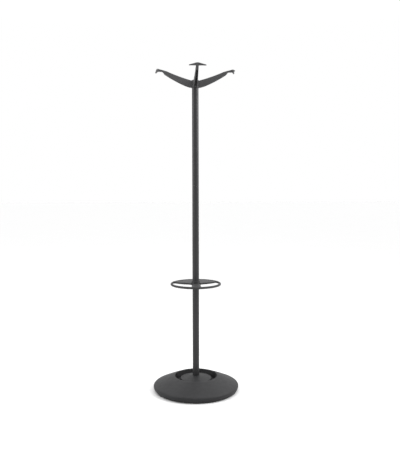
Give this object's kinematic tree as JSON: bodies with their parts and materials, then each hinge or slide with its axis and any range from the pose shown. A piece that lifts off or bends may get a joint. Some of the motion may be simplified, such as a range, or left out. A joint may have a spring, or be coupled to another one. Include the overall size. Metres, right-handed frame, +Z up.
{
  "type": "standing coat rack",
  "caption": "Standing coat rack: weighted round base with a drip groove, steel pole, sliding umbrella ring, and hook arms with drooping cross heads on a hub.",
  "frame": {"origin": "the pole's axis at floor level, under the middle of the base", "axes": "+Z up along the pole, -Y towards the front arm (which is turned 3.5 degrees towards +X), +X to the right"},
  "size_m": [0.45, 0.45, 1.6986],
  "materials": {
    "cover_plastic": "satin",
    "ring_plastic": "satin",
    "arm_plastic": "satin",
    "hub_plastic": "satin",
    "tube_paint": "satin",
    "plate_paint": "matte",
    "concrete": "matte",
    "rubber": "matte",
    "zinc_steel": "satin",
    "bare_steel": "satin",
    "black_steel": "satin",
    "brass": "satin"
  },
  "bodies": {
    "stand": {"base_cover": "cover_plastic", "base_plate": "plate_paint", "ballast": "concrete", "foot_pads": "rubber", "cover_screws": "zinc_steel", "bolt_washer": "zinc_steel", "pole_bolt": "zinc_steel", "base_spacer": "zinc_steel", "lower_tube": "tube_paint", "upper_tube": "tube_paint", "lower_insert": "bare_steel", "lower_joint_plug": "bare_steel", "upper_joint_plug": "bare_steel", "joint_stud": "zinc_steel", "top_insert": "bare_steel", "arm_hub": "hub_plastic", "arm_right": "arm_plastic", "arm_left": "arm_plastic", "arm_front": "arm_plastic", "arm_screws": "zinc_steel", "hub_washer": "zinc_steel", "hub_screw": "zinc_steel", "hub_cap": "hub_plastic"},
    "ring": {"umbrella_ring": "ring_plastic", "ring_screw_insert": "brass", "ring_set_screw": "black_steel"}
  },
  "joints": [
    {"name": "ring_slide", "type": "slide", "parent": "stand", "child": "ring", "axis": [0, 0, 1], "range_m": [-0.46, 0.5]}
  ]
}
